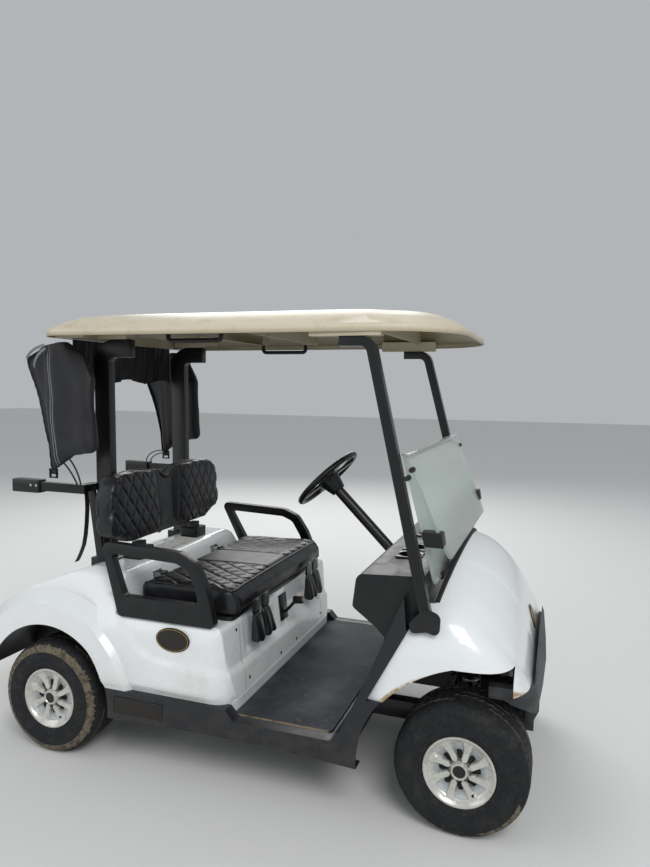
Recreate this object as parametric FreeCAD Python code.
"""Two-seat golf cart: one function builds each sub-part and writes it to parts/NODE.step.

Frame: origin on the ground below the middle of the overall box, +X forward, +Y to the driver's left,
+Z up, millimetres. The driver sits on the left, behind a column at STEER_Y.
"""
import FreeCAD, Part
import math
import os

V = FreeCAD.Vector

# Overall size, axles and ground line
LENGTH = 2370.0
WHEELBASE = 1640.0
FRONT_OVERHANG = 257.0
FRONT_TRACK = 870.0
REAR_TRACK = 970.0
FRONT_X = LENGTH / 2
REAR_X = -LENGTH / 2
FRONT_AXLE_X = FRONT_X - FRONT_OVERHANG
REAR_AXLE_X = FRONT_AXLE_X - WHEELBASE

# Wheels and tyres
TYRE_R = 228.5
TYRE_W = 213.0
TYRE_WALL = 11.0
BEAD_R = 101.6
RIM_W = 178.0
RIM_WALL = 4.0
COVER_GAP = 0.2
FLANGE_H = 14.0
SPOKES = 8
HUB_R = 30.0
SPINDLE_R = 15.0
SPINDLE_FIT = 0.05
AXLE_Z = TYRE_R

# Shells, panels and gaps
SHELL = 4.0
BODY_HALF = 575.0
FLARE_OUT = 23.0
SIDE_HALF = BODY_HALF + FLARE_OUT + 2.0
SIDE_DEPTH = 52.0
REAR_ARCH_R = 297.0
ARCH_RISE = 12.0
FRONT_ARCH_R = 338.0
SILL_TOP_Z = 326.0
SILL_BOTTOM_Z = 214.0
SOFT_GAP = 0.3

# Frame
RAIL_H = 70.0
RAIL_W = 50.0
RAIL_Y = 165.0
RAIL_TOP_Z = 276.0
REAR_RAIL_TOP_Z = 460.0
UPRIGHT_Y = 300.0
FRONT_MEMBER_HALF = 200.0
HITCH_Y = 60.0
HITCH_HOLE_R = 5.0

# Floor
PAN_T = 8.0
MAT_T = 6.0
FLOOR_Z = RAIL_TOP_Z + PAN_T
FLOOR_REAR_X = -60.0
FLOOR_FRONT_X = 505.0
TOE_TOP_X = 690.0
TOE_TOP_Z = 590.0
KICK_X = 88.0

# Rear body and seat
DECK_Z = 606.0
REAR_DECK_Z = 748.0
RISE_X = -404.0
RISE_TOP_X = -432.0
SEAT_FRONT_X = 88.0
SEAT_REAR_X = -375.0
SEAT_HALF = 480.0
SEAT_BASE_T = 14.0
SEAT_TOP_Z = 728.0
BACK_HALF = 462.0
BACK_TOP_Z = 1140.0
BACK_BOTTOM_Z = 818.0
BACK_DIP = 44.0
BACK_T = 91.0
BACK_FRONT_X = -488.0
BACK_LEAN = 3.5
BOOT_X = BACK_FRONT_X - 36
HINGE_X = -392.0
HINGE_Z = 690.0
HINGE_R = 6.0
POUCH_Y = (-335.0, -250.0, 250.0, 335.0)
ARMREST_FOOT_Y = 565.0
ARMREST_LEAN = 9.0
ARMREST_W = 35.0
WELL_HALF = 330.0
WELL_FLOOR_Z = 470.0
WELL_FRONT_X = -765.0
WELL_LIP_Z = 684.0

# Cowl, dash and windshield
COWL_BOTTOM_Z = 512.0
DASH_TOP_Z = 868.0
DASH_REAR_X = 568.0
CURTAIN_Y = (385.0, 450.0)
CUP_R = 42.0
CUP_X = 690.0
CUP_Y = (-255.0, -130.0, 130.0)
CUP_HALF = 50.0
CUP_TOP_Z = 880.0
CUP_FLOOR_Z = 814.0
CUP_FOOT_Z = 806.0
PANE_T = 5.0
PANE_HALF = 528.0
PANE_LEAN = 14.8
PANE_FOOT_X = 829.0
PANE_FOOT_Z = 846.0
PANE_HINGE_Z = 1272.0
FOLD_LEAN = 22.4
FOLD_L = 372.0

# Roof and struts
ROOF_UNDER_Z = 1690.0
ROOF_TOP_Z = 1795.0
ROOF_HALF = 560.0
ROOF_REAR_X = -785.0
ROOF_FRONT_X = 885.0
ROOF_WALL = 5.0
ROOF_LIP = 24.0
HANDLE_X = (-238.0, -8.0)
HANDLE_Y = 440.0
HANDLE_Z = 1708.0
STRUT_W = 35.0
STRUT_TOP_Y = 500.0
STRUT_FOOT_Y = 577.0
STRUT_FOOT_X = 822.0
STRUT_FOOT_Z = 735.0
STRUT_TOP_X = 592.0
REAR_STRUT_X = -632.0
REAR_STRUT_DX = 75.0
REAR_STRUT_DY = 40.0

# Steering
STEER_Y = 270.0
STEER_X = 177.0
STEER_Z = 1073.0
STEER_TILT = 45.0
STEER_R = 165.0
STEER_GRIP_R = 14.0
KINGPIN_Y = 358.0
ARM_L = 100.0
ARM_Y = 311.0
RACK_Z = 296.0
RACK_R = 10.0
PINION_Y = 70.0
SHAFT_FOOT = (FRONT_AXLE_X - ARM_L - 6, PINION_Y, RACK_Z + 10)


# Shape helpers

def rounded_wire(points, place):
    """Closed wire through corners (a, b, radius); place turns (a, b) into a point in space."""
    count = len(points)
    corners = []
    for i in range(count):
        here = V(points[i][0], points[i][1], 0)
        radius = points[i][2] if len(points[i]) > 2 else 0.0
        if radius <= 0:
            corners.append((here, None, here))
            continue
        before = V(points[i - 1][0], points[i - 1][1], 0) - here
        after = V(points[(i + 1) % count][0], points[(i + 1) % count][1], 0) - here
        before.normalize()
        after.normalize()
        half = before.getAngle(after) / 2
        middle = before + after
        middle.normalize()
        run = radius / math.tan(half)
        reach = radius / math.sin(half) - radius
        corners.append((here + before * run, here + middle * reach, here + after * run))
    edges = []
    for i in range(count):
        start, middle, end = corners[i]
        last = corners[i - 1][2]
        if (start - last).Length > 1e-6:
            edges.append(Part.makeLine(place(last.x, last.y), place(start.x, start.y)))
        if middle is not None:
            arc = Part.Arc(place(start.x, start.y), place(middle.x, middle.y), place(end.x, end.y))
            edges.append(arc.toShape())
    return Part.Wire(edges)


def prism(points, plane, low, high):
    """Solid from an outline in plane xz, yz or xy, between two values of the third axis."""
    places = {
        "xz": (lambda a, b: V(a, low, b), V(0, high - low, 0)),
        "yz": (lambda a, b: V(low, a, b), V(high - low, 0, 0)),
        "xy": (lambda a, b: V(a, b, low), V(0, 0, high - low)),
    }
    place, run = places[plane]
    return Part.Face(rounded_wire(points, place)).extrude(run)


def block(x0, x1, y0, y1, z0, z1):
    return Part.makeBox(x1 - x0, y1 - y0, z1 - z0, V(x0, y0, z0))


def rod(radius, start, end):
    run = V(*end) - V(*start)
    return Part.makeCylinder(radius, run.Length, V(*start), run)


def revolved(points, centre, side):
    """Ring about the Y axis through centre, from (radius, outward width, corner radius) points."""
    cx, cy, cz = centre
    wire = rounded_wire(points, lambda r, w: V(cx, cy + side * w, cz + r))
    return Part.Face(wire).revolve(V(cx, cy, cz), V(0, 1, 0), 360)


def path_wire(points, bend):
    """Open path through 3-D points, its inner corners turned into tangent arcs."""
    points = [V(*p) for p in points]
    edges = []
    last = points[0]
    for i in range(1, len(points) - 1):
        before = points[i - 1] - points[i]
        after = points[i + 1] - points[i]
        before.normalize()
        after.normalize()
        half = before.getAngle(after) / 2
        middle = before + after
        middle.normalize()
        run = bend / math.tan(half)
        start = points[i] + before * run
        end = points[i] + after * run
        edges.append(Part.makeLine(last, start))
        edges.append(Part.Arc(start, points[i] + middle * (bend / math.sin(half) - bend), end).toShape())
        last = end
    edges.append(Part.makeLine(last, points[-1]))
    return Part.Wire(edges)


def round_bar(points, bend, radius):
    path = path_wire(points, bend)
    start = V(*points[0])
    tangent = V(*points[1]) - start
    ring = Part.Wire([Part.makeCircle(radius, start, tangent)])
    return path.makePipeShell([ring], True, False)


def flat_bar(points, bend, across, width, depth):
    """Bar of rectangular section along a path; width lies along the direction across."""
    path = path_wire(points, bend)
    start = V(*points[0])
    tangent = V(*points[1]) - start
    tangent.normalize()
    u = V(*across)
    u = u - tangent * u.dot(tangent)
    u.normalize()
    v = tangent.cross(u)
    ring = Part.makePolygon([start + u * (a * width / 2) + v * (b * depth / 2)
                             for a, b in ((-1, -1), (1, -1), (1, 1), (-1, 1), (-1, -1))])
    return path.makePipeShell([ring], True, False)


def fused(shapes):
    return shapes[0].multiFuse(shapes[1:]).removeSplitter()


def mirrored(shape):
    return shape.mirror(V(0, 0, 0), V(0, 1, 0))


def pair(shape):
    """A right-hand shape and its left-hand twin, as solids that do not touch."""
    return Part.makeCompound([shape, mirrored(shape)])


def leaned(points, foot, lean, thickness):
    """Plate from (y, distance up the slope, radius) corners, leaning back by lean degrees."""
    tilt = math.radians(lean)
    up = V(-math.sin(tilt), 0, math.cos(tilt))
    out = V(math.cos(tilt), 0, math.sin(tilt))
    foot = V(*foot)
    wire = rounded_wire(points, lambda a, b: foot + V(0, a, 0) + up * b)
    return Part.Face(wire).extrude(out * thickness)


# Frame and running gear

def make_frame():
    rail_low = RAIL_TOP_Z - RAIL_H
    rear_low = REAR_RAIL_TOP_Z - RAIL_H
    rail = prism([(FRONT_X - 130, rail_low, 0), (FRONT_X - 130, RAIL_TOP_Z, 0), (-330, RAIL_TOP_Z, 40),
                  (-470, REAR_RAIL_TOP_Z, 40), (REAR_X + 66, REAR_RAIL_TOP_Z, 0), (REAR_X + 66, rear_low, 0),
                  (-440, rear_low, 40), (-300, rail_low, 40)], "xz", RAIL_Y - RAIL_W / 2, RAIL_Y + RAIL_W / 2)
    pieces = [rail, mirrored(rail)]
    # cross members: x, width along x, half length, low z, high z
    for x, width, half, low, high in (
            (FRONT_X - 150, 40, FRONT_MEMBER_HALF, rail_low, RAIL_TOP_Z),
            (FRONT_AXLE_X - ARM_L, 40, RAIL_Y, rail_low, RAIL_TOP_Z),
            (520, 40, 540, rail_low, RAIL_TOP_Z),
            (120, 40, 540, rail_low, RAIL_TOP_Z),
            (-270, 40, 540, rail_low, RAIL_TOP_Z),
            (-500, 40, UPRIGHT_Y + 20, rear_low, REAR_RAIL_TOP_Z),
            (REAR_STRUT_X, 75, UPRIGHT_Y + 20, rear_low, REAR_RAIL_TOP_Z),
            (REAR_X + 86, 40, 440, rear_low, REAR_RAIL_TOP_Z)):
        pieces.append(block(x - width / 2, x + width / 2, -half, half, low, high))
    tower_y = RAIL_Y + RAIL_W / 2
    for side in (-1, 1):
        # front tower, damper shelf, rear upright and rear damper bracket
        low, high = sorted((side * (tower_y - 30), side * tower_y))
        pieces.append(block(FRONT_AXLE_X - 25, FRONT_AXLE_X + 25, low, high, RAIL_TOP_Z, 590))
        low, high = sorted((side * (tower_y - 30), side * 262))
        pieces.append(block(FRONT_AXLE_X - 25, FRONT_AXLE_X + 25, low, high, 570, 590))
        low, high = sorted((side * (UPRIGHT_Y - 20), side * (UPRIGHT_Y + 20)))
        pieces.append(block(REAR_STRUT_X - 37.5, REAR_STRUT_X + 37.5, low, high,
                            REAR_RAIL_TOP_Z - 5, REAR_DECK_Z).common(rear_body_form(SHELL + SOFT_GAP)))
        low, high = sorted((side * 240, side * 286))
        pieces.append(block(REAR_AXLE_X - 40, REAR_STRUT_X - 30, low, high, rear_low, rear_low + 20))
    pieces.append(block(FRONT_AXLE_X - 20, FRONT_AXLE_X + 20, -tower_y, tower_y, 560, 590))
    frame = fused(pieces)
    # holes for a tow hitch, from below through the front cross member
    for x in (FRONT_X - 160, FRONT_X - 140):
        for y in (-HITCH_Y, HITCH_Y):
            frame = frame.cut(rod(HITCH_HOLE_R, (x, y, rail_low - 1), (x, y, RAIL_TOP_Z + 1)))
    return frame


def make_front_arms():
    pieces = []
    # low z, y of the inner corner
    for low, inner in ((150, 222), (303, 298)):
        arm = prism([(FRONT_AXLE_X - 70, RAIL_Y + RAIL_W / 2, 0), (FRONT_AXLE_X - 50, RAIL_Y + RAIL_W / 2, 0),
                     (FRONT_AXLE_X, inner, 12), (FRONT_AXLE_X + 50, RAIL_Y + RAIL_W / 2, 0),
                     (FRONT_AXLE_X + 70, RAIL_Y + RAIL_W / 2, 0), (FRONT_AXLE_X + 19, inner + 12, 30),
                     (FRONT_AXLE_X + 12, KINGPIN_Y + 12, 11), (FRONT_AXLE_X - 12, KINGPIN_Y + 12, 11),
                     (FRONT_AXLE_X - 19, inner + 12, 30)], "xy", low, low + 15)
        arm = arm.cut(rod(8 + SPINDLE_FIT, (FRONT_AXLE_X, KINGPIN_Y, low - 5), (FRONT_AXLE_X, KINGPIN_Y, low + 20)))
        pieces.append(arm)
    # room for the spring in the upper arm
    pieces[1] = pieces[1].cut(rod(40, (FRONT_AXLE_X, 250, 290), (FRONT_AXLE_X, 250, 330)))
    # lugs that carry the arms on the rail
    for x in (-60, 60):
        pieces[0] = pieces[0].fuse(block(FRONT_AXLE_X + x - 10, FRONT_AXLE_X + x + 10,
                                         RAIL_Y + RAIL_W / 2, RAIL_Y + RAIL_W / 2 + 22, 150, 240))
        pieces[1] = pieces[1].fuse(block(FRONT_AXLE_X + x - 10, FRONT_AXLE_X + x + 10,
                                         RAIL_Y + RAIL_W / 2, RAIL_Y + RAIL_W / 2 + 22, 250, 318))
    return Part.makeCompound(pieces + [mirrored(p) for p in pieces])


def damper(foot, top, coil_r, wire_r, turns):
    """Coil-over damper: two tubes, end eyes and rings that stand for the coils."""
    foot = V(*foot)
    top = V(*top)
    run = top - foot
    axis = V(run)
    axis.normalize()
    body = [Part.makeCylinder(14, run.Length, foot, axis),
            Part.makeCylinder(22, run.Length * 0.45, foot + axis * 20, axis),
            Part.makeCylinder(coil_r + 4, 8, foot + axis * 40, axis),
            Part.makeCylinder(coil_r + 4, 8, top - axis * 30, axis)]
    first = 58.0
    step = (run.Length - first - 44.0) / (turns - 1)
    for i in range(turns):
        ring = Part.makeTorus(coil_r - wire_r, wire_r, foot + axis * (first + i * step), axis)
        body.append(ring)
        body.append(Part.makeCylinder(coil_r - wire_r, 3, foot + axis * (first + i * step - 1.5), axis))
    return fused(body)


def make_front_dampers():
    return pair(damper((FRONT_AXLE_X, 258, 165.9), (FRONT_AXLE_X, 236, 569), 34, 5, 7))


def make_rear_dampers():
    top = REAR_RAIL_TOP_Z - RAIL_H - SOFT_GAP
    return pair(damper((REAR_AXLE_X, 262, AXLE_Z + 44), (REAR_AXLE_X, 262, top), 34, 5, 3))


def make_rear_axle():
    tube_end = REAR_TRACK / 2 - 40
    pieces = [rod(34, (REAR_AXLE_X, -tube_end + 40, AXLE_Z), (REAR_AXLE_X, tube_end - 40, AXLE_Z)),
              rod(SPINDLE_R, (REAR_AXLE_X, -REAR_TRACK / 2 - 45, AXLE_Z),
                  (REAR_AXLE_X, REAR_TRACK / 2 + 45, AXLE_Z)),
              block(REAR_AXLE_X - 110, REAR_AXLE_X + 120, -90, 90, AXLE_Z - 95, AXLE_Z + 100)]
    for side in (-1, 1):
        low, high = sorted((side * 232, side * 292))
        pieces.append(block(REAR_AXLE_X - 35, REAR_AXLE_X + 35, low, high, AXLE_Z, AXLE_Z + 44))
        low, high = sorted((side * (tube_end - 40), side * (tube_end - 28)))
        pieces.append(rod(75, (REAR_AXLE_X, low, AXLE_Z), (REAR_AXLE_X, high, AXLE_Z)))
    return fused(pieces)


def make_knuckle(side):
    y = side * KINGPIN_Y
    pieces = [rod(18, (FRONT_AXLE_X, y, 170), (FRONT_AXLE_X, y, 298)),
              rod(8, (FRONT_AXLE_X, y, 152), (FRONT_AXLE_X, y, 316)),
              rod(SPINDLE_R, (FRONT_AXLE_X, y, AXLE_Z), (FRONT_AXLE_X, side * (FRONT_TRACK / 2 + 45), AXLE_Z)),
              rod(60, (FRONT_AXLE_X, side * (KINGPIN_Y + 16), AXLE_Z),
                  (FRONT_AXLE_X, side * (KINGPIN_Y + 26), AXLE_Z))]
    low, high = sorted((side * (ARM_Y - 10), side * KINGPIN_Y))
    pieces.append(block(FRONT_AXLE_X - 12, FRONT_AXLE_X + 12, low, high, 262, 274))
    low, high = sorted((side * (ARM_Y - 10), side * (ARM_Y + 10)))
    pieces.append(block(FRONT_AXLE_X - ARM_L, FRONT_AXLE_X + 12, low, high, 262, 274))
    eye_x = FRONT_AXLE_X - ARM_L
    pieces.append(rod(14, (eye_x, side * (ARM_Y - 4), 262), (eye_x, side * (ARM_Y - 4), 274)))
    return fused(pieces)


def make_steering_rack():
    x = FRONT_AXLE_X - ARM_L
    pieces = [rod(RACK_R, (x, -ARM_Y, RACK_Z), (x, ARM_Y, RACK_Z))]
    for side in (-1, 1):
        pieces.append(rod(13, (x, side * (ARM_Y - 4), RACK_Z - 13), (x, side * (ARM_Y - 4), RACK_Z + 13)))
        pieces.append(rod(5, (x, side * (ARM_Y - 4), 277), (x, side * (ARM_Y - 4), RACK_Z)))
    return fused(pieces)


def make_rim(centre, side):
    half = RIM_W / 2
    barrel = revolved([(BEAD_R - RIM_WALL, -half, 0), (BEAD_R + FLANGE_H - 2, -half - 4, 0),
                       (BEAD_R + FLANGE_H, -half, 0), (BEAD_R + FLANGE_H - 2, -half + 4, 0),
                       (BEAD_R, -half + 5, 0), (BEAD_R, half - 5, 0), (BEAD_R + FLANGE_H - 2, half - 4, 0),
                       (BEAD_R + FLANGE_H, half, 0), (BEAD_R + FLANGE_H - 2, half + 4, 0),
                       (BEAD_R - RIM_WALL, half, 0)], centre, side)
    disc = revolved([(0, 52, 0), (60, 58, 0), (BEAD_R - RIM_WALL + 1, 64, 0), (BEAD_R - RIM_WALL + 1, 80, 0),
                     (88, 74, 0), (HUB_R + 4, 70, 0), (HUB_R - 2, 84, 0), (0, 84, 0)], centre, side)
    hub = revolved([(SPINDLE_R + SPINDLE_FIT, -36, 0), (HUB_R, -36, 0), (HUB_R, 54, 0),
                    (SPINDLE_R + SPINDLE_FIT, 54, 0)], centre, side)
    hub_hole = revolved([(0, -40, 0), (SPINDLE_R + SPINDLE_FIT, -40, 0), (SPINDLE_R + SPINDLE_FIT, 50, 0),
                         (0, 50, 0)], centre, side)
    return fused([barrel, disc, hub]).cut(hub_hole)


def make_cover(centre, side):
    """Dished wheel cover on the rim's flange: eight petals, a slot at the foot of each."""
    lip = RIM_W / 2 + 4 + COVER_GAP
    cover = revolved([(0, 96, 0), (27, 96, 2), (31, 90, 2), (60, 86, 0), (90, 87, 0), (98, 92.6, 0), (107, 95, 0),
                      (112, 98.5, 0), (117, 100.5, 3), (121, 99.5, 0), (121, 95.5, 0), (116, lip, 0),
                      (BEAD_R + FLANGE_H - 2, lip, 0), (BEAD_R - RIM_WALL, lip - 4, 0), (93, 84, 0), (60, 83, 0),
                      (31, 87, 0), (27, 92.8, 0), (0, 92.8, 0)], centre, side)
    slots = []
    for i in range(SPOKES):
        slot = prism([(42, -5, 3), (66, -11, 4), (66, 11, 4), (42, 5, 3)], "xz", 70, 110)
        slot.rotate(V(0, 0, 0), V(0, 1, 0), 360.0 * (i + 0.5) / SPOKES)
        if side < 0:
            slot = mirrored(slot)
        slot.translate(V(*centre))
        slots.append(slot)
    return cover.cut(Part.makeCompound(slots))


def make_tyre(centre, side):
    bead = BEAD_R + SOFT_GAP
    foot = RIM_W / 2 - 5 - SOFT_GAP
    half = TYRE_W / 2
    wall = TYRE_WALL
    outer = [(bead, foot, 0), (bead + FLANGE_H, foot + 0.5, 0), (bead + 26, half - 8, 10), (168, half, 30),
             (TYRE_R - 14, half - 14, 20), (TYRE_R, half - 36, 8)]
    inner = [(TYRE_R - wall, half - 42, 8), (TYRE_R - 22, half - 26, 14), (166, half - wall, 24),
             (bead + 20, foot - 2, 0), (bead, foot - wall, 0)]
    ring = outer + [(r, -w, c) for r, w, c in reversed(outer)]
    hollow = [(r, w, c) for r, w, c in inner] + [(r, -w, c) for r, w, c in reversed(inner)]
    tyre = revolved(ring, centre, side)
    return tyre.cut(revolved(hollow, centre, side))


# Body panels

def make_floor_pan():
    pan = prism([(FLOOR_REAR_X, RAIL_TOP_Z, 0), (FLOOR_FRONT_X, RAIL_TOP_Z, 30),
                 (TOE_TOP_X, TOE_TOP_Z, 0), (TOE_TOP_X - PAN_T, TOE_TOP_Z, 0),
                 (FLOOR_FRONT_X - 5, FLOOR_Z, 24), (FLOOR_REAR_X, FLOOR_Z, 0)],
                "xz", -SIDE_HALF + SIDE_DEPTH, SIDE_HALF - SIDE_DEPTH)
    # hole for the lower steering shaft
    pan = pan.cut(rod(16, column_point(655), SHAFT_FOOT))
    return pan.removeSplitter()


def make_floor_mat():
    half = SIDE_HALF - SIDE_DEPTH - 6
    return prism([(KICK_X + 12, -half, 20), (FLOOR_FRONT_X - 22, -half, 30), (FLOOR_FRONT_X - 22, half, 30),
                  (KICK_X + 12, half, 20)], "xy", FLOOR_Z, FLOOR_Z + MAT_T)


def arch_cutter(x, z, radius, inner_y, outer_y):
    return rod(radius, (x, inner_y, z), (x, outer_y, z))


def rear_body_form(inset):
    """Outer form of the rear body, or the same form set in by inset all round and open below."""
    t = inset
    low = SILL_TOP_Z - t
    side = prism([(KICK_X - t, low, 0), (KICK_X - 34 - t, DECK_Z - t, 26), (RISE_X - 0.8 * t, DECK_Z - t, 6),
                  (RISE_TOP_X - 0.8 * t, REAR_DECK_Z - t, 40), (-610, REAR_DECK_Z - t, 160),
                  (-868 + 0.6 * t, 652 - 0.9 * t, 200), (-1024 + 0.8 * t, 480 - 0.6 * t, 120),
                  (REAR_X + 78 + t, low, 0)], "xz", -700, 700)
    half = BODY_HALF - t
    front = prism([(-half, low - 5, 0), (-half, 570 - 0.4 * t, 110), (-half + 132, REAR_DECK_Z + 4 - t, 90),
                   (half - 132, REAR_DECK_Z + 4 - t, 90), (half, 570 - 0.4 * t, 110), (half, low - 5, 0)],
                  "yz", REAR_X, KICK_X + 10)
    edge = half + 1
    plan = prism([(KICK_X + 1 - t, -edge, 90 - t), (KICK_X + 1 - t, edge, 90 - t), (REAR_X + 77 + t, edge, 150 - t),
                  (REAR_X + 77 + t, -edge, 150 - t)], "xy", low - 10, REAR_DECK_Z + 10)
    form = side.common(front).common(plan)
    flares = []
    for s in (-1, 1):
        base = V(REAR_AXLE_X, s * (BODY_HALF - 36), AXLE_Z + ARCH_RISE)
        flare = Part.makeCone(REAR_ARCH_R + 135 - t, REAR_ARCH_R + 88 - t, 36 + FLARE_OUT - t, base, V(0, s, 0))
        flares.append(flare.common(block(REAR_X + 78, 0, -700, 700, low, 900)))
    return form.multiFuse(flares)


def make_rear_body():
    shell = rear_body_form(0).cut(rear_body_form(SHELL))
    for s in (-1, 1):
        shell = shell.cut(arch_cutter(REAR_AXLE_X, AXLE_Z + ARCH_RISE, REAR_ARCH_R, s * 340, s * 700))
    # opening under the seat, the bag well and the open back above the bumper
    shell = shell.cut(block(-320, 20, -430, 430, DECK_Z - 20, DECK_Z + 5))
    shell = shell.cut(block(REAR_X - 10, WELL_FRONT_X, -WELL_HALF, WELL_HALF, WELL_FLOOR_Z - 7, 800))
    shell = shell.cut(block(REAR_X - 10, -1000, -445, 445, 300, WELL_FLOOR_Z - 5))
    skirt = block(KICK_X - SHELL, KICK_X, -540, 540, FLOOR_Z + 0.5, SILL_TOP_Z + 2)
    return shell.fuse(skirt).removeSplitter()


def make_bag_well():
    """Open-topped tray that takes the bags, behind the rear deck."""
    x0 = REAR_X + 90
    tray = prism([(x0, WELL_FLOOR_Z - 6, 0), (x0, WELL_FLOOR_Z + 30, 0), (x0 + 5, WELL_FLOOR_Z + 30, 0),
                  (x0 + 5, WELL_FLOOR_Z, 0), (WELL_FRONT_X - 5, WELL_FLOOR_Z, 0), (WELL_FRONT_X - 5, WELL_LIP_Z, 0),
                  (WELL_FRONT_X - SOFT_GAP, WELL_LIP_Z, 0), (WELL_FRONT_X - SOFT_GAP, WELL_FLOOR_Z - 6, 0)],
                 "xz", -WELL_HALF + SOFT_GAP, WELL_HALF - SOFT_GAP)
    wall = prism([(x0, WELL_FLOOR_Z, 0), (x0, WELL_FLOOR_Z + 30, 0), (-1010, 488, 0), (-880, 620, 0),
                  (WELL_FRONT_X - 2, WELL_LIP_Z, 0), (WELL_FRONT_X - 2, WELL_FLOOR_Z, 0)],
                 "xz", WELL_HALF - 5, WELL_HALF - SOFT_GAP)
    return fused([tray, wall, mirrored(wall)])


def make_arch_liners():
    """Half tubes over the rear wheels with a closing wall on the inside."""
    z = AXLE_Z + ARCH_RISE
    inner = 345.0
    outer = BODY_HALF + FLARE_OUT - SHELL - SOFT_GAP
    tube = rod(REAR_ARCH_R + 5, (REAR_AXLE_X, inner, z), (REAR_AXLE_X, outer, z))
    tube = tube.cut(rod(REAR_ARCH_R + 1, (REAR_AXLE_X, inner + 4, z), (REAR_AXLE_X, outer + 1, z)))
    tube = tube.common(block(-1150, 0, 0, 700, 330, 900))
    return pair(tube)


def make_rocker_panels():
    low = SIDE_HALF - SIDE_DEPTH
    outline = [(-445, 207, 0), (-136, SILL_BOTTOM_Z + 6, 300), (284, SILL_BOTTOM_Z + 12, 300), (640, 205, 0),
               (720, 453, 0), (623, 453, 0), (769, 726, 20), (812, 800, 0), (800, 846, 0), (761, 856, 0),
               (730, 782, 60), (626, 535, 200), (528, 322, 60), (FLOOR_FRONT_X, FLOOR_Z + MAT_T, 30),
               (KICK_X + 40, FLOOR_Z + MAT_T, 12), (KICK_X + 8, SILL_TOP_Z, 12), (-445, SILL_TOP_Z, 0)]
    panel = prism(outline, "xz", low, SIDE_HALF)
    wire = rounded_wire(outline, lambda a, b: V(a, low, b))
    pocket = Part.Face(wire).makeOffset2D(-SHELL).extrude(V(0, SIDE_DEPTH - SHELL, 0))
    panel = panel.cut(pocket)
    panel = panel.cut(arch_cutter(REAR_AXLE_X, AXLE_Z + ARCH_RISE, REAR_ARCH_R, 300, 700))
    panel = panel.cut(arch_cutter(FRONT_AXLE_X, AXLE_Z + 7, FRONT_ARCH_R, 300, 700))
    # notch for the foot of the front strut
    notch = prism([(742, 860, 0), (756, 694, 0), (870, 694, 0), (870, 870, 0), (742, 870, 0)], "xz", 540, 610)
    panel = panel.cut(notch).cut(make_front_cowl())
    return pair(panel)


def cowl_form(inset):
    """Hood and fenders as a loft of upright sections; columns are x, half width, side, shoulder and centre z."""
    stations = [
        (600, 572, 640, 880, 985),
        (860, 588, 620, 775, 916),
        (1000, 580, 590, 706, 840),
        (1080, 548, 560, 618, 730),
        (1125, 490, 528, 552, 612),
        (1150, 400, 490, 500, 520),
    ]
    t = inset
    wires = []
    for x, half, side_z, shoulder_z, centre_z in stations:
        w = half - t
        s = max(w - 78, 0.82 * w)
        x = x - t if x > 700 else x
        low = 420.0

        def at(y, z, x=x):
            return V(x, y, z)

        side_z = side_z - t
        shoulder_z = shoulder_z - t
        centre_z = centre_z - t
        bulge_y = (w + s) / 2 + 0.12 * (w - s)
        bulge_z = (side_z + shoulder_z) / 2 + 0.16 * (shoulder_z - side_z)
        wires.append(Part.Wire([
            Part.makeLine(at(-w, low), at(-w, side_z)),
            Part.Arc(at(-w, side_z), at(-bulge_y, bulge_z), at(-s, shoulder_z)).toShape(),
            Part.Arc(at(-s, shoulder_z), at(0, centre_z), at(s, shoulder_z)).toShape(),
            Part.Arc(at(s, shoulder_z), at(bulge_y, bulge_z), at(w, side_z)).toShape(),
            Part.makeLine(at(w, side_z), at(w, low)),
            Part.makeLine(at(w, low), at(-w, low))]))
    return Part.makeLoft(wires, True, False)


def cowl_rear_cutter():
    """Everything behind the cowl's rear edge: the slanted side edges and the curved edge of the hood."""
    side = prism([(500, 300, 0), (500, 1100, 0), (832, 1100, 0), (832, 846, 0), (806, 800, 0), (769, 726, 0),
                  (623, 453, 0), (560, 300, 0)], "xz", -700, 700)
    arc = Part.Arc(V(832, -500, 600), V(869, 0, 600), V(832, 500, 600)).toShape()
    back = Part.makePolygon([V(832, 500, 600), V(500, 500, 600), V(500, -500, 600), V(832, -500, 600)])
    hood = Part.Face(Part.Wire([arc] + back.Edges)).extrude(V(0, 0, 600))
    return side.fuse(hood)


def make_front_cowl():
    shell = cowl_form(0).cut(cowl_form(SHELL))
    shell = shell.cut(cowl_rear_cutter())
    arch = rod(492, (1044, -700, 125), (1044, 700, 125))
    arch = arch.common(block(500, 1094, -700, 700, 300, 597))
    shell = shell.cut(arch)
    shell = shell.cut(block(1090, 1300, -700, 700, 300, COWL_BOTTOM_Z))
    shell = shell.cut(block(500, 700, -700, 700, 300, 452))
    return shell.removeSplitter()


def make_cowl_seal():
    """Rubber strip along the curved rear edge of the hood, standing on it."""
    low, high = 600.0, 1000.0
    arcs = []
    for shift in (0.0, 14.0):
        arcs.append((V(832 + shift, -498, low), V(869 + shift, 0, low), V(832 + shift, 498, low)))
    first = Part.Arc(*arcs[0]).toShape()
    second = Part.Arc(*arcs[1]).toShape()
    band = Part.Face(Part.Wire([first, Part.makeLine(arcs[0][2], arcs[1][2]), second,
                                Part.makeLine(arcs[1][0], arcs[0][0])])).extrude(V(0, 0, high - low))
    raised = cowl_form(0)
    raised.translate(V(0, 0, 12))
    return band.common(raised).cut(cowl_form(0))


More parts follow.
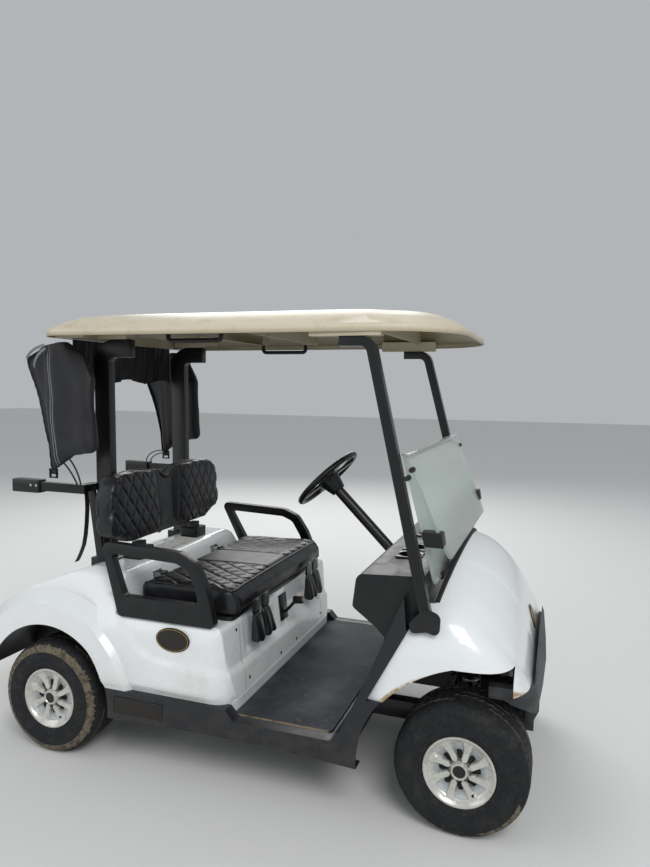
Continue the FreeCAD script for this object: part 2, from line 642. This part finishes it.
def make_dashboard():
    half = SIDE_HALF - SIDE_DEPTH - 1
    outline = [(DASH_REAR_X, DASH_TOP_Z, 30), (DASH_REAR_X - 14, 752, 18), (DASH_REAR_X + 68, 692, 30),
               (TOE_TOP_X, 640, 0), (TOE_TOP_X + 60, 640, 0), (812, 846, 0), (800, DASH_TOP_Z + 12, 0)]
    dash = prism(outline, "xz", -half, half)
    bins = []
    # bins behind the rear face: low y, high y
    for y0, y1 in ((-half + 40, -70), (70, STEER_Y - 60), (STEER_Y + 60, half - 40)):
        bins.append(prism([(DASH_REAR_X - 60, 832, 0), (DASH_REAR_X - 60, 770, 0), (DASH_REAR_X + 68, 712, 20),
                           (690, 712, 16), (700, 764, 10), (646, 780, 10), (612, 832, 0)], "xz", y0, y1))
    dash = dash.cut(Part.makeCompound(bins))
    dash = dash.cut(rod(40, (STEER_X, STEER_Y, STEER_Z), (STEER_X + 620, STEER_Y, STEER_Z - 620)))
    dash = dash.cut(Part.makeCompound([cup_block(y) for y in CUP_Y]))
    return dash.cut(make_front_cowl()).removeSplitter()


def cup_block(y):
    half = CUP_HALF
    return prism([(CUP_X - half, y - half, 18), (CUP_X + half, y - half, 18), (CUP_X + half, y + half, 18),
                  (CUP_X - half, y + half, 18)], "xy", CUP_FOOT_Z, CUP_TOP_Z)


def make_cup_holders():
    wells = []
    for y in CUP_Y:
        wells.append(cup_block(y).cut(rod(CUP_R, (CUP_X, y, CUP_FLOOR_Z), (CUP_X, y, CUP_TOP_Z + 10))))
    return Part.makeCompound(wells)


def lower_pane(grow):
    slope = math.cos(math.radians(PANE_LEAN))
    length = (PANE_HINGE_Z - PANE_FOOT_Z) / slope
    tilt = math.radians(PANE_LEAN)
    foot = (PANE_FOOT_X - grow * math.cos(tilt), 0, PANE_FOOT_Z - grow * math.sin(tilt))
    half = PANE_HALF + grow
    return leaned([(-half, -grow, 30), (half, -grow, 30), (half, length, 4), (-half, length, 4)],
                  foot, PANE_LEAN, PANE_T + 2 * grow)


def make_windshield_lower():
    return lower_pane(0)


def pane_top():
    return PANE_FOOT_X - (PANE_HINGE_Z - PANE_FOOT_Z) * math.tan(math.radians(PANE_LEAN))


def folded_pane(grow):
    """Upper pane, folded down on its hinge in front of the lower one; grow adds clearance all round."""
    fold = math.radians(FOLD_LEAN)
    half = PANE_HALF + grow
    foot = (pane_top() + 16 + FOLD_L * math.sin(fold) - grow * math.cos(fold), 0,
            PANE_HINGE_Z - FOLD_L * math.cos(fold) - grow * math.sin(fold))
    return leaned([(-half + 14, -grow, 60), (half - 14, -grow, 60), (half, 110, 60), (half, FOLD_L, 4),
                   (-half, FOLD_L, 4), (-half, 110, 60)], foot, FOLD_LEAN, PANE_T + 2 * grow)


def make_windshield_upper():
    return folded_pane(0)


def make_windshield_fittings():
    """Hinge strip along the fold and the two clips that hold the folded pane."""
    x = pane_top()
    strip = block(x - 4, x + 26, -PANE_HALF, PANE_HALF, PANE_HINGE_Z + 2.2, PANE_HINGE_Z + 10)
    clip = prism([(799.6, 978, 0), (861, 978, 6), (853, 1026, 6), (786.9, 1026, 0)], "xz", 484, 536)
    clip = clip.cut(folded_pane(SOFT_GAP))
    clip = clip.cut(block(780, 834, 490, 540, 984, 1020))
    channel = block(812.3, 841, -400, 400, 838, 860).cut(lower_pane(SOFT_GAP))
    return Part.makeCompound([strip, clip, mirrored(clip), channel])


def roof_form(inset):
    """Roof as stacked plan outlines; columns are height, distance in from the edge."""
    t = inset
    levels = [(ROOF_UNDER_Z - (5 if t else 0), t), (ROOF_UNDER_Z + ROOF_LIP - t, t),
              (ROOF_UNDER_Z + 62 - t, 58 + t), (ROOF_TOP_Z - 22 - t, 110 + t), (ROOF_TOP_Z - t, 260 + t)]
    wires = []
    for z, edge in levels:
        half = ROOF_HALF - edge
        x0 = ROOF_REAR_X + edge
        x1 = ROOF_FRONT_X - 1.1 * edge
        rear = max(120 - 0.3 * edge, 30)
        front = max(300 - 0.5 * edge, 60)
        wires.append(rounded_wire([(x0, -half, rear), (x1, -half + 40, front), (x1, half - 40, front),
                                   (x0, half, rear)], lambda a, b, z=z: V(a, b, z)))
    return Part.makeLoft(wires, True, True)


def make_roof():
    shell = roof_form(0).cut(roof_form(ROOF_WALL))
    inside = roof_form(ROOF_WALL)
    ribs = []
    for x in (-520, -240, 40, 320, 560):
        ribs.append(block(x - 4, x + 4, -470, 470, ROOF_UNDER_Z + 18, ROOF_TOP_Z).common(inside))
    for s in (-1, 1):
        low, high = sorted((s * 478, s * 522))
        ribs.append(block(375, 631, low, high, ROOF_UNDER_Z - 14, ROOF_UNDER_Z + 30))
        ribs.append(block(REAR_STRUT_X - 20, REAR_STRUT_X + 120, s * UPRIGHT_Y - 30, s * UPRIGHT_Y + 30,
                          ROOF_UNDER_Z, ROOF_TOP_Z).common(inside))
        # seats for the grab handles and the side curtains
        for x in HANDLE_X:
            ribs.append(block(x - 18, x + 18, s * HANDLE_Y - 16, s * HANDLE_Y + 16,
                              HANDLE_Z + SOFT_GAP, ROOF_TOP_Z).common(inside))
        ribs.append(block(-779, -640, s * 420 - 20, s * 420 + 20, ROOF_UNDER_Z, ROOF_TOP_Z).common(inside))
    ribs.append(block(-762, -732, -400, 400, ROOF_UNDER_Z, ROOF_TOP_Z).common(inside))
    return shell.multiFuse(ribs).removeSplitter()


# Struts, rack and handles

def make_front_struts():
    points = [(STRUT_FOOT_X, STRUT_FOOT_Y, STRUT_FOOT_Z),
              (STRUT_TOP_X, STRUT_TOP_Y, ROOF_UNDER_Z - 14 - STRUT_W / 2),
              (STRUT_TOP_X - 110, STRUT_TOP_Y, ROOF_UNDER_Z - 14 - STRUT_W / 2)]
    # the across direction is square to both runs, so the section does not twist round the bend
    lean = (STRUT_TOP_Y - STRUT_FOOT_Y) / (ROOF_UNDER_Z - 14 - STRUT_FOOT_Z)
    strut = flat_bar(points, 45, (0, 1, -lean), STRUT_W, STRUT_W)
    strut = strut.cut(block(300, 900, 300, 700, ROOF_UNDER_Z - 14 - SOFT_GAP, ROOF_UNDER_Z + 20))
    plate = prism([(770, 702, 14), (762, 735, 14), (812, 792, 20), (866, 772, 26), (862, 700, 20), (820, 712, 10)],
                  "xz", STRUT_FOOT_Y + STRUT_W / 2 - 6, STRUT_FOOT_Y + STRUT_W / 2)
    return pair(fused([strut, plate]))


def make_rear_struts():
    top = ROOF_UNDER_Z - REAR_STRUT_DX / 2
    points = [(REAR_STRUT_X, UPRIGHT_Y, REAR_DECK_Z - 30), (REAR_STRUT_X - 12, UPRIGHT_Y, top),
              (REAR_STRUT_X + 130, UPRIGHT_Y, top)]
    strut = flat_bar(points, 60, (0, 1, 0), REAR_STRUT_DY, REAR_STRUT_DX)
    foot = block(REAR_STRUT_X - 60, REAR_STRUT_X + 60, UPRIGHT_Y - 40, UPRIGHT_Y + 40,
                 REAR_DECK_Z - 30, REAR_DECK_Z + 6)
    # the foot follows the curve of the deck
    return pair(fused([strut, foot]).cut(rear_body_form(0)))


def make_back_supports():
    """Boots on the deck with the steel posts that carry the back cushion."""
    x = BOOT_X
    boot = prism([(x - 46, 175, 16), (x + 46, 175, 16), (x + 46, 285, 16), (x - 46, 285, 16)], "xy",
                 REAR_DECK_Z, REAR_DECK_Z + 46)
    rise = math.tan(math.radians(BACK_LEAN))
    slope = 20 * rise
    top = BACK_BOTTOM_Z - SOFT_GAP + (x - BACK_FRONT_X + BACK_T / 2) * rise
    post = prism([(x - 20, REAR_DECK_Z + 46, 0), (x + 20, REAR_DECK_Z + 46, 0), (x + 20, top + slope, 0),
                  (x - 20, top - slope, 0)], "xz", 205, 255)
    return pair(fused([boot, post]))


def make_grab_handles():
    low = HANDLE_Z - 36
    handle = round_bar([(HANDLE_X[0], HANDLE_Y, HANDLE_Z), (HANDLE_X[0], HANDLE_Y, low),
                        (HANDLE_X[1], HANDLE_Y, low), (HANDLE_X[1], HANDLE_Y, HANDLE_Z)], 16, 9)
    return pair(handle)


def make_bag_rack():
    arm = block(-1032, REAR_STRUT_X - 30, 388, 416, 1042, 1080)
    pad = prism([(-1036, 376, 10), (-890, 376, 10), (-890, 428, 10), (-1036, 428, 10)], "xy", 1034, 1088)
    rear_face = REAR_STRUT_X - REAR_STRUT_DX / 2 - 5.0
    leg = flat_bar([(-678, 348, 1060), (-628, 348, REAR_DECK_Z - 30)], 10, (0, 1, 0), 10, 36)
    link = block(rear_face - 40, rear_face, UPRIGHT_Y, 392, 1046, 1076)
    pieces = []
    for piece in (arm, pad, leg, link):
        pieces.append(piece)
        pieces.append(mirrored(piece))
    pieces.append(rod(13, (-712, -402, 1061), (-712, 402, 1061)))
    return fused(pieces).cut(rear_body_form(0))


def make_armrests():
    """Closed loops that stand on the deck's edge and lean inwards; height is measured up the lean."""
    lean = math.radians(ARMREST_LEAN)
    foot_z = DECK_Z + SOFT_GAP

    def place(x, z):
        up = (z - foot_z) / math.cos(lean)
        return V(x, ARMREST_FOOT_Y - up * math.sin(lean), foot_z + up * math.cos(lean))

    outer = [(-388, foot_z, 24), (-502, 880, 26), (-138, 866, 60), (-67, 834, 60), (-18, 753, 60), (34, foot_z, 16)]
    inner = [(-372, 682, 22), (-449, 837, 14), (-150, 826, 40), (-97, 803, 40), (-60, 734, 40), (-40, 682, 16)]
    run = V(0, -ARMREST_W, 0)
    hole = Part.Face(rounded_wire(inner, place)).extrude(run * 1.4)
    hole.translate(run * -0.2)
    return pair(Part.Face(rounded_wire(outer, place)).extrude(run).cut(hole))


# Seat

def make_seat_base():
    z0 = DECK_Z + 1.0
    base = prism([(SEAT_REAR_X, -SEAT_HALF + 12, 20), (SEAT_FRONT_X - 34, -SEAT_HALF + 12, 30),
                  (SEAT_FRONT_X - 34, SEAT_HALF - 12, 30), (SEAT_REAR_X, SEAT_HALF - 12, 20)], "xy", z0, z0 + SEAT_BASE_T)
    ear = prism([(SEAT_REAR_X + 4, z0, 0), (SEAT_REAR_X - 10, z0, 0), (HINGE_X - 11, z0 + 22, 0),
                 (HINGE_X - 11, HINGE_Z + 11, 10), (SEAT_REAR_X - 1, HINGE_Z + 11, 4), (SEAT_REAR_X - 1, z0 + 8, 0),
                 (SEAT_REAR_X + 4, z0 + 8, 0)], "xz", 230, 270)
    seat = fused([base, ear, mirrored(ear)])
    return seat.cut(rod(HINGE_R + 0.05, (HINGE_X, -300, HINGE_Z), (HINGE_X, 300, HINGE_Z)))


def make_seat_hinges():
    """Pin and two round-ended ears on a plate, screwed to the rise behind the seat."""
    slope = (RISE_TOP_X - RISE_X) / (REAR_DECK_Z - DECK_Z)
    low = HINGE_Z - 14
    high = HINGE_Z + 14
    face_low = RISE_X + slope * (low - DECK_Z) + SOFT_GAP
    face_high = RISE_X + slope * (high - DECK_Z) + SOFT_GAP
    plate = prism([(face_low, low, 0), (face_low + 6, low, 0), (face_high + 6, high, 0), (face_high, high, 0)],
                  "xz", 220, 280)
    pieces = [plate, rod(HINGE_R, (HINGE_X, 222, HINGE_Z), (HINGE_X, 278, HINGE_Z))]
    for y in (222, 272):
        pieces.append(prism([(face_low + 4, HINGE_Z - 9, 0), (HINGE_X + 9, HINGE_Z - 9, 8.9),
                             (HINGE_X + 9, HINGE_Z + 9, 8.9), (face_low + 4, HINGE_Z + 9, 0)], "xz", y, y + 6))
    return pair(fused(pieces))


def make_seat_cushion():
    z0 = DECK_Z + 1.0 + SEAT_BASE_T
    side = prism([(SEAT_REAR_X, z0, 12), (SEAT_REAR_X, SEAT_TOP_Z - 16, 30), (-150, SEAT_TOP_Z - 4, 0),
                  (SEAT_FRONT_X - 40, SEAT_TOP_Z, 40), (SEAT_FRONT_X + 4, 690, 40), (SEAT_FRONT_X - 6, z0, 16)],
                 "xz", -SEAT_HALF, SEAT_HALF)
    plan = prism([(SEAT_REAR_X, -SEAT_HALF, 40), (SEAT_FRONT_X + 4, -SEAT_HALF, 60), (SEAT_FRONT_X + 4, SEAT_HALF, 60),
                  (SEAT_REAR_X, SEAT_HALF, 40)], "xy", z0 - 5, SEAT_TOP_Z + 5)
    return side.common(plan)


def make_seat_pouches():
    """Ball pouches hung by a flap from the front of the seat cushion, two near each end."""
    pieces = []
    side = prism([(89.8, 672, 0), (97, 672, 3), (97, 612, 4), (128, 598, 10), (130, 494, 14), (80, 494, 14),
                  (80, 612, 4), (83, 624, 0)], "xz", -500, 500)
    for y in POUCH_Y:
        front = prism([(y - 31, 680, 0), (y + 31, 680, 0), (y + 38, 488, 16), (y - 38, 488, 16)], "yz", 70, 140)
        pieces.append(side.common(front))
    return Part.makeCompound(pieces)


def make_back_cushion():
    top = BACK_TOP_Z
    half = BACK_HALF
    low = BACK_BOTTOM_Z
    outline = [(-half, low + 60, 60), (-half + 10, top - 20, 110), (-250, top, 200), (-90, top - 6, 60),
               (0, top - BACK_DIP - 8, 60), (90, top - 6, 60), (250, top, 200), (half - 10, top - 20, 110),
               (half, low + 60, 60), (half - 150, low, 80), (-half + 150, low, 80)]
    cushion = prism(outline, "yz", BACK_FRONT_X - BACK_T, BACK_FRONT_X)
    cushion.rotate(V(BACK_FRONT_X - BACK_T / 2, 0, low), V(0, 1, 0), -BACK_LEAN)
    return cushion


def make_curtains():
    """Rolled side curtains behind the struts and the gathered band between them."""
    top = ROOF_UNDER_Z - SOFT_GAP
    side = prism([(-733, top, 8), (-778, top, 10), (-843, 1680, 10), (-951, 1618, 20), (-939, 1552, 20),
                  (-843, 1248, 30), (-819, 1112, 16), (-711, 1182, 30), (-573, 1209, 40), (-591, 1535, 40),
                  (-649, 1640, 40)], "xz", CURTAIN_Y[0], CURTAIN_Y[1])
    half = CURTAIN_Y[0] - 5
    band = prism([(-772, 1512, 20), (-772, top, 4), (-722, top, 4), (-722, 1512, 20)], "xz", -half, half)
    return Part.makeCompound([side, mirrored(side), band])


# Controls and fittings

def column_point(distance, y=None):
    drop = distance * math.sin(math.radians(STEER_TILT))
    run = distance * math.cos(math.radians(STEER_TILT))
    return (STEER_X + run, STEER_Y if y is None else y, STEER_Z - drop)


def make_steering_wheel():
    """Rim, spokes and hub, built flat and then laid square to the column."""
    rim = Part.makeTorus(STEER_R, STEER_GRIP_R)
    hub = Part.makeCone(52, 34, 66, V(0, 0, -14), V(0, 0, -1))
    pad = Part.makeCylinder(56, 20, V(0, 0, -16))
    pieces = [rim, hub, pad]
    for angle in (0, 90, 180, 270):
        spoke = prism([(40, -22, 0), (STEER_R, -16, 0), (STEER_R, 16, 0), (40, 22, 0)], "xy", -12, -2)
        spoke.rotate(V(0, 0, 0), V(0, 0, 1), angle + 45)
        pieces.append(spoke)
    wheel = fused(pieces)
    wheel.rotate(V(0, 0, 0), V(0, 1, 0), -STEER_TILT)
    wheel.translate(V(STEER_X, STEER_Y, STEER_Z))
    return wheel


def make_steering_column():
    """Column from the wheel to the toe board, lower shaft and the rack housing."""
    x = FRONT_AXLE_X - ARM_L
    pieces = [rod(24, column_point(80 + SOFT_GAP), column_point(660)),
              rod(11, column_point(655), SHAFT_FOOT),
              rod(22, (x, -110, RACK_Z), (x, 110, RACK_Z)),
              rod(26, (x, PINION_Y - 24, RACK_Z), (x, PINION_Y + 24, RACK_Z))]
    column = fused(pieces)
    column = column.cut(rod(RACK_R + 0.05, (x, -200, RACK_Z), (x, 200, RACK_Z)))
    return column.cut(block(x - 60, x + 60, -200, 200, 200, RAIL_TOP_Z))


def make_pedals():
    """Accelerator and brake, hung from the toe board."""
    pieces = []
    # centre y, pad half width, pad low z
    for y, half, low in ((190, 32, 330), (330, 48, 330)):
        arm = flat_bar([(575, y, 600), (520, y, 480), (495, y, low + 40)], 20, (0, 1, 0), 16, 10)
        pad = prism([(482, low, 4), (492, low - 4, 0), (512, low + 76, 0), (500, low + 80, 4)],
                    "xz", y - half, y + half)
        pieces.append(fused([arm, pad]))
    bar = rod(10, (575, 130, 600), (575, 390, 600))
    return fused(pieces + [bar, block(565, 700, 140, 160, 590, 610), block(565, 700, 360, 380, 590, 610)])


def make_shift_lever():
    """Direction lever in the middle of the kick panel."""
    x = KICK_X - 18
    face = [(KICK_X + 0.4 - 34 * (z - SILL_TOP_Z) / (DECK_Z - SILL_TOP_Z), z) for z in (470, 580)]
    plate = prism(face + [(a + 7, z) for a, z in reversed(face)], "xz", -36, 36)
    lever = rod(7, (x + 6, 0, 500), (x + 60, 0, 560))
    knob = rod(17, (x + 50, 0, 560), (x + 92, 0, 566))
    return fused([plate, lever, knob])


def make_blank_plates():
    """Bare plates: an oval on each side and a bar on each sill."""
    pieces = []
    for s in (-1, 1):
        oval = Part.Face(Part.Wire([Part.Ellipse(V(0, 0, 0), 72, 46).toShape()])).extrude(V(0, 0, 3))
        oval.rotate(V(0, 0, 0), V(1, 0, 0), 90)
        oval.translate(V(-137, s * (BODY_HALF + 1.5) + 1.5, 548))
        pieces.append(oval)
        low, high = sorted((s * SIDE_HALF, s * (SIDE_HALF + 2)))
        pieces.append(prism([(-385, 236, 3), (-170, 240, 3), (-170, 300, 3), (-385, 300, 3)], "xz", low, high))
    return Part.makeCompound(pieces)


def bumper_form(inset):
    """Wrap-round front bumper as stacked plan outlines; columns are z, front x and half width."""
    t = inset
    wires = []
    for z, x, half in ((300, 1150, 400), (360, 1178, 440), (450, FRONT_X, 462), (530, FRONT_X - 4, 462),
                       (590, 1160, 455)):
        z = z + (t if z < 400 else 0) - (t if z > 560 else 0)
        wires.append(rounded_wire([(1010, -half + t, 0), (x - 22 - t, -half + t, 120), (x - t, 0, 900),
                                   (x - 22 - t, half - t, 120), (1010, half - t, 0)],
                                  lambda a, b, z=z: V(a, b, z)))
    return Part.makeLoft(wires, True, True)


def make_front_bumper():
    bumper = bumper_form(0).cut(bumper_form(6))
    # open back, lower corners cut away for the steered tyres, lip clear of the nose
    bumper = bumper.cut(block(1000, 1120, -420, 420, 290, 620))
    corner = prism([(1000, 280, 0), (1210, 280, 0), (1210, 345, 0), (1165, 388, 0), (1130, 428, 0), (1060, 468, 0),
                    (1000, 468, 0)], "xz", 235, 600)
    bumper = bumper.cut(corner).cut(mirrored(corner))
    bumper = bumper.cut(block(1000, 1156, -600, 600, COWL_BOTTOM_Z - 4, 700))
    # brackets to the front cross member
    brackets = [block(FRONT_X - 130 + SOFT_GAP, 1150, y - 15, y + 15, 240, 320) for y in (-165, 165)]
    plate = prism([(1100, 300, 0), (1150, 300, 0), (1168, 340, 0), (1100, 340, 0)], "xz", -225, 225)
    return bumper.multiFuse(brackets + [plate]).removeSplitter()


def make_rear_bumper():
    x = REAR_X + 64
    outer = prism([(x, -470, 0), (REAR_X + 30, -470, 30), (REAR_X, -300, 300), (REAR_X, 300, 300),
                   (REAR_X + 30, 470, 30), (x, 470, 0)], "xy", 330, 440)
    inner = prism([(x + 9, -464, 0), (REAR_X + 36, -464, 24), (REAR_X + 6, -298, 290), (REAR_X + 6, 298, 290),
                   (REAR_X + 36, 464, 24), (x + 9, 464, 0)], "xy", 320, 434)
    brackets = [block(REAR_X + 3, REAR_X + 66 - SOFT_GAP, y - 15, y + 15, 394, 436) for y in (-260, 260)]
    return outer.cut(inner).multiFuse(brackets).removeSplitter()


def make_engine():
    return block(-475, -295, -RAIL_Y + RAIL_W / 2 + SOFT_GAP, RAIL_Y - RAIL_W / 2 - SOFT_GAP, RAIL_TOP_Z + 4, 560)


NODES = {
    "frame": make_frame,
    "front_arms": make_front_arms,
    "front_dampers": make_front_dampers,
    "rear_axle": make_rear_axle,
    "rear_dampers": make_rear_dampers,
    "engine": make_engine,
    "floor_pan": make_floor_pan,
    "floor_mat": make_floor_mat,
    "rear_body": make_rear_body,
    "bag_well": make_bag_well,
    "arch_liners": make_arch_liners,
    "rocker_panels": make_rocker_panels,
    "front_cowl": make_front_cowl,
    "cowl_seal": make_cowl_seal,
    "dashboard": make_dashboard,
    "cup_holders": make_cup_holders,
    "windshield_lower": make_windshield_lower,
    "windshield_upper": make_windshield_upper,
    "windshield_fittings": make_windshield_fittings,
    "roof": make_roof,
    "front_struts": make_front_struts,
    "rear_struts": make_rear_struts,
    "back_supports": make_back_supports,
    "grab_handles": make_grab_handles,
    "bag_rack": make_bag_rack,
    "armrests": make_armrests,
    "seat_base": make_seat_base,
    "seat_hinges": make_seat_hinges,
    "seat_cushion": make_seat_cushion,
    "seat_pouches": make_seat_pouches,
    "back_cushion": make_back_cushion,
    "curtains": make_curtains,
    "steering_wheel": make_steering_wheel,
    "steering_column": make_steering_column,
    "steering_rack": make_steering_rack,
    "pedals": make_pedals,
    "shift_lever": make_shift_lever,
    "blank_plates": make_blank_plates,
    "front_bumper": make_front_bumper,
    "rear_bumper": make_rear_bumper,
    "knuckle_left": lambda: make_knuckle(1),
    "knuckle_right": lambda: make_knuckle(-1),
}
# wheels: name, axle x, half track, side
for name, x, half, side in (("front_left", FRONT_AXLE_X, FRONT_TRACK / 2, 1),
                            ("front_right", FRONT_AXLE_X, FRONT_TRACK / 2, -1),
                            ("rear_left", REAR_AXLE_X, REAR_TRACK / 2, 1),
                            ("rear_right", REAR_AXLE_X, REAR_TRACK / 2, -1)):
    centre = (x, side * half, AXLE_Z)
    NODES["rim_" + name] = lambda c=centre, s=side: make_rim(c, s)
    NODES["cover_" + name] = lambda c=centre, s=side: make_cover(c, s)
    NODES["tyre_" + name] = lambda c=centre, s=side: make_tyre(c, s)

os.makedirs("parts", exist_ok=True)
for node, make in NODES.items():
    shape = make()
    box = shape.BoundBox
    print("%-20s %2d solids valid=%s %8.1f cm3  x %.0f..%.0f y %.0f..%.0f z %.0f..%.0f" % (
        node, len(shape.Solids), shape.isValid(), shape.Volume / 1000,
        box.XMin, box.XMax, box.YMin, box.YMax, box.ZMin, box.ZMax))
    shape.exportStep("parts/%s.step" % node)
